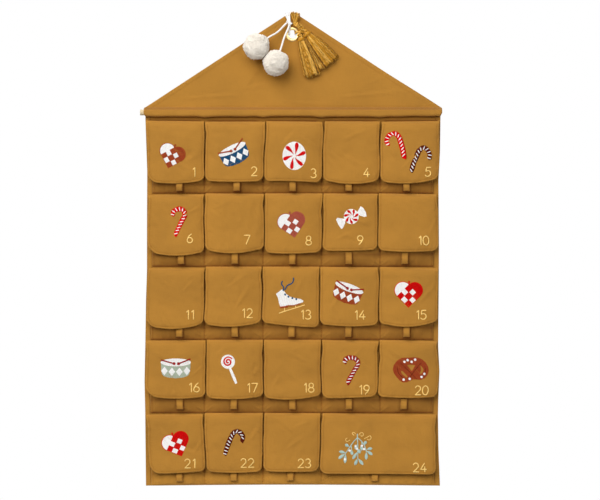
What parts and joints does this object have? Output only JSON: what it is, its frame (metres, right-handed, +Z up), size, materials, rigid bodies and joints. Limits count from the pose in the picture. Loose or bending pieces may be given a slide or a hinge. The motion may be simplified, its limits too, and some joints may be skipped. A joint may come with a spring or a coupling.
{
  "type": "wall advent calendar",
  "caption": "Gabled cloth wall calendar with rows of pockets under numbered hinged flaps, a dowel in a sleeve, a brass eyelet, pom-poms and tassels.",
  "frame": {"origin": "middle of the hanging eyelet, on the plane of the wall behind the back cloth", "axes": "+Z up along the height, +Y into the wall, +X to the right as seen from the front"},
  "size_m": [0.617, 0.0643, 0.9777],
  "materials": {
    "canvas": "matt woven cotton",
    "brass": "polished",
    "wood": "bare sanded birch",
    "cream_yarn": "trimmed wool yarn",
    "white_cord": "twisted cotton",
    "gold_thread": "silky viscose thread"
  },
  "bodies": {
    "panel": {"back_panel": "canvas", "roof_facing": "canvas", "eyelet_front": "brass", "eyelet_washer": "brass", "pocket_strip_row_1": "canvas", "pocket_strip_row_2": "canvas", "pocket_strip_row_3": "canvas", "pocket_strip_row_4": "canvas", "pocket_strip_row_5": "canvas", "pompom_hitch": "white_cord", "tassel_hitch": "gold_thread"},
    "dowel": {"dowel": "wood"},
    "pompom_left": {"pompom_left": "cream_yarn", "pompom_cord_left": "white_cord"},
    "pompom_right": {"pompom_right": "cream_yarn", "pompom_cord_right": "white_cord"},
    "tassel_left": {"tassel_left": "gold_thread"},
    "tassel_right": {"tassel_right": "gold_thread"},
    "flap_01": {"flap_01": "canvas"},
    "flap_02": {"flap_02": "canvas"},
    "flap_03": {"flap_03": "canvas"},
    "flap_04": {"flap_04": "canvas"},
    "flap_05": {"flap_05": "canvas"},
    "flap_06": {"flap_06": "canvas"},
    "flap_07": {"flap_07": "canvas"},
    "flap_08": {"flap_08": "canvas"},
    "flap_09": {"flap_09": "canvas"},
    "flap_10": {"flap_10": "canvas"},
    "flap_11": {"flap_11": "canvas"},
    "flap_12": {"flap_12": "canvas"},
    "flap_13": {"flap_13": "canvas"},
    "flap_14": {"flap_14": "canvas"},
    "flap_15": {"flap_15": "canvas"},
    "flap_16": {"flap_16": "canvas"},
    "flap_17": {"flap_17": "canvas"},
    "flap_18": {"flap_18": "canvas"},
    "flap_19": {"flap_19": "canvas"},
    "flap_20": {"flap_20": "canvas"},
    "flap_21": {"flap_21": "canvas"},
    "flap_22": {"flap_22": "canvas"},
    "flap_23": {"flap_23": "canvas"},
    "flap_24": {"flap_24": "canvas"}
  },
  "joints": [
    {"name": "flap_01_hinge", "type": "hinge", "parent": "panel", "child": "flap_01", "pos_m": [-0.24, -0.0038, -0.179], "axis": [-1, 0, 0], "range_deg": [0, 115]},
    {"name": "flap_02_hinge", "type": "hinge", "parent": "panel", "child": "flap_02", "pos_m": [-0.12, -0.0038, -0.179], "axis": [-1, 0, 0], "range_deg": [0, 115]},
    {"name": "flap_03_hinge", "type": "hinge", "parent": "panel", "child": "flap_03", "pos_m": [0, -0.0038, -0.179], "axis": [-1, 0, 0], "range_deg": [0, 115]},
    {"name": "flap_04_hinge", "type": "hinge", "parent": "panel", "child": "flap_04", "pos_m": [0.12, -0.0038, -0.179], "axis": [-1, 0, 0], "range_deg": [0, 115]},
    {"name": "flap_05_hinge", "type": "hinge", "parent": "panel", "child": "flap_05", "pos_m": [0.24, -0.0038, -0.179], "axis": [-1, 0, 0], "range_deg": [0, 115]},
    {"name": "flap_06_hinge", "type": "hinge", "parent": "panel", "child": "flap_06", "pos_m": [-0.24, -0.0038, -0.329], "axis": [-1, 0, 0], "range_deg": [0, 115]},
    {"name": "flap_07_hinge", "type": "hinge", "parent": "panel", "child": "flap_07", "pos_m": [-0.12, -0.0038, -0.329], "axis": [-1, 0, 0], "range_deg": [0, 115]},
    {"name": "flap_08_hinge", "type": "hinge", "parent": "panel", "child": "flap_08", "pos_m": [0, -0.0038, -0.329], "axis": [-1, 0, 0], "range_deg": [0, 115]},
    {"name": "flap_09_hinge", "type": "hinge", "parent": "panel", "child": "flap_09", "pos_m": [0.12, -0.0038, -0.329], "axis": [-1, 0, 0], "range_deg": [0, 115]},
    {"name": "flap_10_hinge", "type": "hinge", "parent": "panel", "child": "flap_10", "pos_m": [0.24, -0.0038, -0.329], "axis": [-1, 0, 0], "range_deg": [0, 115]},
    {"name": "flap_11_hinge", "type": "hinge", "parent": "panel", "child": "flap_11", "pos_m": [-0.24, -0.0038, -0.479], "axis": [-1, 0, 0], "range_deg": [0, 115]},
    {"name": "flap_12_hinge", "type": "hinge", "parent": "panel", "child": "flap_12", "pos_m": [-0.12, -0.0038, -0.479], "axis": [-1, 0, 0], "range_deg": [0, 115]},
    {"name": "flap_13_hinge", "type": "hinge", "parent": "panel", "child": "flap_13", "pos_m": [0, -0.0038, -0.479], "axis": [-1, 0, 0], "range_deg": [0, 115]},
    {"name": "flap_14_hinge", "type": "hinge", "parent": "panel", "child": "flap_14", "pos_m": [0.12, -0.0038, -0.479], "axis": [-1, 0, 0], "range_deg": [0, 115]},
    {"name": "flap_15_hinge", "type": "hinge", "parent": "panel", "child": "flap_15", "pos_m": [0.24, -0.0038, -0.479], "axis": [-1, 0, 0], "range_deg": [0, 115]},
    {"name": "flap_16_hinge", "type": "hinge", "parent": "panel", "child": "flap_16", "pos_m": [-0.24, -0.0038, -0.629], "axis": [-1, 0, 0], "range_deg": [0, 115]},
    {"name": "flap_17_hinge", "type": "hinge", "parent": "panel", "child": "flap_17", "pos_m": [-0.12, -0.0038, -0.629], "axis": [-1, 0, 0], "range_deg": [0, 115]},
    {"name": "flap_18_hinge", "type": "hinge", "parent": "panel", "child": "flap_18", "pos_m": [0, -0.0038, -0.629], "axis": [-1, 0, 0], "range_deg": [0, 115]},
    {"name": "flap_19_hinge", "type": "hinge", "parent": "panel", "child": "flap_19", "pos_m": [0.12, -0.0038, -0.629], "axis": [-1, 0, 0], "range_deg": [0, 115]},
    {"name": "flap_20_hinge", "type": "hinge", "parent": "panel", "child": "flap_20", "pos_m": [0.24, -0.0038, -0.629], "axis": [-1, 0, 0], "range_deg": [0, 115]},
    {"name": "flap_21_hinge", "type": "hinge", "parent": "panel", "child": "flap_21", "pos_m": [-0.24, -0.0038, -0.779], "axis": [-1, 0, 0], "range_deg": [0, 115]},
    {"name": "flap_22_hinge", "type": "hinge", "parent": "panel", "child": "flap_22", "pos_m": [-0.12, -0.0038, -0.779], "axis": [-1, 0, 0], "range_deg": [0, 115]},
    {"name": "flap_23_hinge", "type": "hinge", "parent": "panel", "child": "flap_23", "pos_m": [0, -0.0038, -0.779], "axis": [-1, 0, 0], "range_deg": [0, 115]},
    {"name": "flap_24_hinge", "type": "hinge", "parent": "panel", "child": "flap_24", "pos_m": [0.18, -0.0038, -0.779], "axis": [-1, 0, 0], "range_deg": [0, 115]},
    {"name": "dowel_slide", "type": "slide", "parent": "panel", "child": "dowel", "axis": [-1, 0, 0], "range_m": [0, 0.62]},
    {"name": "pompom_left_swing", "type": "hinge", "parent": "panel", "child": "pompom_left", "pos_m": [-0.008, -0.0095, 0.025], "axis": [0, 1, 0], "range_deg": [0, 30]},
    {"name": "pompom_right_swing", "type": "hinge", "parent": "panel", "child": "pompom_right", "pos_m": [-0.0045, -0.0095, 0.022], "axis": [0, -1, 0], "range_deg": [0, 5]},
    {"name": "tassel_left_swing", "type": "hinge", "parent": "panel", "child": "tassel_left", "pos_m": [0.015, -0.0103, -0.001], "axis": [0, 1, 0], "range_deg": [0, 10]},
    {"name": "tassel_right_swing", "type": "hinge", "parent": "panel", "child": "tassel_right", "pos_m": [0.025, -0.0103, 0.0095], "axis": [0, -1, 0], "range_deg": [0, 25]}
  ]
}
